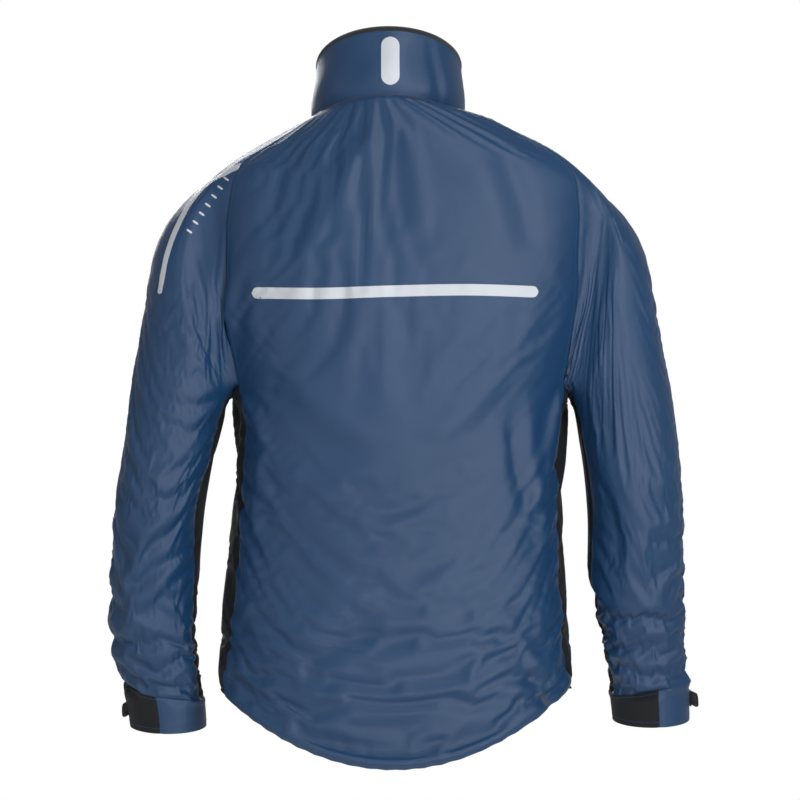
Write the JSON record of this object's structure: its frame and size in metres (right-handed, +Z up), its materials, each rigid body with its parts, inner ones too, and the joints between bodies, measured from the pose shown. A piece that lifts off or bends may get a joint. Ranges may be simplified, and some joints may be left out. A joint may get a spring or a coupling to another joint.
{
  "type": "foul weather jacket",
  "caption": "Thin coated sailing jacket with raglan sleeves, stand collar, full front zip, hand pockets, drop-tail hem and strapped cuffs, shaped as if worn.",
  "frame": {"origin": "centre of the neck opening at the height of the collar seam", "axes": "+X towards the wearer's left, +Y towards the back, +Z up"},
  "size_m": [0.646, 0.2618, 0.814],
  "materials": {
    "shell_nylon": "coated plain-weave nylon with a soft gloss, dark navy",
    "dark_stretch": "near-black stretch cloth, matt",
    "reflective_film": "bonded retroreflective film, silver",
    "black_tape": "woven tape, black",
    "zip_coil": "moulded coil, black",
    "zip_metal": "black enamelled zinc",
    "moulded_grip": "soft moulded grip, black",
    "mesh_lining": "fine knitted mesh, charcoal",
    "brushed_lining": "brushed tricot, very dark navy",
    "loop_pile": "hook-and-loop pile, black",
    "woven_label": "woven satin label, plain"
  },
  "bodies": {
    "jacket": {"back_lining": "mesh_lining", "back_panel": "shell_nylon", "back_reflector": "reflective_film", "chin_guard": "brushed_lining", "collar_binding": "black_tape", "collar_label": "reflective_film", "collar_lining": "brushed_lining", "collar_shell": "shell_nylon", "hem_facing": "shell_nylon", "left_front_panel": "shell_nylon", "left_pocket_bag": "mesh_lining", "left_pocket_tape": "black_tape", "left_pocket_teeth": "zip_coil", "left_raglan_head": "shell_nylon", "left_raglan_stripe": "reflective_film", "left_side_panel": "dark_stretch", "left_zip_tape": "black_tape", "left_zip_teeth": "zip_coil", "neck_label": "woven_label", "right_front_panel": "shell_nylon", "right_pocket_bag": "mesh_lining", "right_pocket_tape": "black_tape", "right_pocket_teeth": "zip_coil", "right_raglan_head": "shell_nylon", "right_raglan_stripe": "reflective_film", "right_side_panel": "dark_stretch", "right_zip_tape": "black_tape", "right_zip_teeth": "zip_coil", "storm_flap": "shell_nylon", "zip_box": "zip_coil", "zip_top_stops": "zip_coil"},
    "left_upper_arm": {"left_upper_sleeve": "shell_nylon", "left_upper_gusset": "dark_stretch", "left_sleeve_stripe": "reflective_film"},
    "left_forearm": {"left_forearm_sleeve": "shell_nylon", "left_forearm_gusset": "dark_stretch", "left_cuff": "shell_nylon", "left_cuff_trim": "dark_stretch", "left_cuff_patch": "loop_pile"},
    "left_strap": {"left_cuff_strap": "dark_stretch"},
    "left_pocket_runner": {"left_pocket_slider": "zip_metal"},
    "left_pocket_pull": {"left_pocket_puller": "zip_metal", "left_pocket_grip": "moulded_grip"},
    "right_upper_arm": {"right_upper_sleeve": "shell_nylon", "right_upper_gusset": "dark_stretch", "right_sleeve_stripe": "reflective_film"},
    "right_forearm": {"right_forearm_sleeve": "shell_nylon", "right_forearm_gusset": "dark_stretch", "right_cuff": "shell_nylon", "right_cuff_trim": "dark_stretch", "right_cuff_patch": "loop_pile"},
    "right_strap": {"right_cuff_strap": "dark_stretch"},
    "right_pocket_runner": {"right_pocket_slider": "zip_metal"},
    "right_pocket_pull": {"right_pocket_puller": "zip_metal", "right_pocket_grip": "moulded_grip"},
    "main_runner": {"zip_slider": "zip_metal"},
    "main_pull": {"zip_puller": "zip_metal", "zip_grip": "moulded_grip"},
    "loop": {"hanger_loop": "black_tape"}
  },
  "joints": [
    {"name": "left_shoulder", "type": "hinge", "parent": "jacket", "child": "left_upper_arm", "pos_m": [0.192, -0.005, -0.116], "axis": [0, -1, 0], "range_deg": [0, 60]},
    {"name": "left_elbow", "type": "hinge", "parent": "left_upper_arm", "child": "left_forearm", "pos_m": [0.25491, 0.00821, -0.40698], "axis": [-1, 0, 0], "range_deg": [0, 70]},
    {"name": "left_strap_peel", "type": "hinge", "parent": "left_forearm", "child": "left_strap", "pos_m": [0.26181, -0.09178, -0.6576], "axis": [-0.0102, -0.2113, -0.9774], "range_deg": [0, 110]},
    {"name": "left_pocket_zip", "type": "slide", "parent": "jacket", "child": "left_pocket_runner", "axis": [0.2606, 0.0452, -0.9644], "range_m": [0, 0.126]},
    {"name": "left_pocket_pull_swing", "type": "hinge", "parent": "left_pocket_runner", "child": "left_pocket_pull", "pos_m": [0.10296, -0.12234, -0.41003], "axis": [-0.8922, -0.3705, -0.2585], "range_deg": [0, 150]},
    {"name": "right_shoulder", "type": "hinge", "parent": "jacket", "child": "right_upper_arm", "pos_m": [-0.2, -0.005, -0.11], "axis": [0, 1, 0], "range_deg": [0, 60]},
    {"name": "right_elbow", "type": "hinge", "parent": "right_upper_arm", "child": "right_forearm", "pos_m": [-0.26798, 0.00816, -0.39984], "axis": [-1, 0, 0], "range_deg": [0, 70]},
    {"name": "right_strap_peel", "type": "hinge", "parent": "right_forearm", "child": "right_strap", "pos_m": [-0.29543, -0.0904, -0.64962], "axis": [0.07, 0.2057, 0.9761], "range_deg": [0, 110]},
    {"name": "right_pocket_zip", "type": "slide", "parent": "jacket", "child": "right_pocket_runner", "axis": [-0.2606, 0.0452, -0.9644], "range_m": [0, 0.126]},
    {"name": "right_pocket_pull_swing", "type": "hinge", "parent": "right_pocket_runner", "child": "right_pocket_pull", "pos_m": [-0.10296, -0.12234, -0.41003], "axis": [-0.8922, 0.3705, 0.2585], "range_deg": [0, 150]},
    {"name": "main_zip", "type": "slide", "parent": "jacket", "child": "main_runner", "axis": [0, -0.058, -0.9983], "range_m": [0, 0.626]},
    {"name": "main_pull_swing", "type": "hinge", "parent": "main_runner", "child": "main_pull", "pos_m": [0, -0.1103, -0.00276], "axis": [-1, 0, 0], "range_deg": [0, 150]},
    {"name": "hanger_loop_swing", "type": "hinge", "parent": "jacket", "child": "loop", "pos_m": [0, 0.062, 0.008], "axis": [-1, 0, 0], "range_deg": [0, 100]}
  ]
}
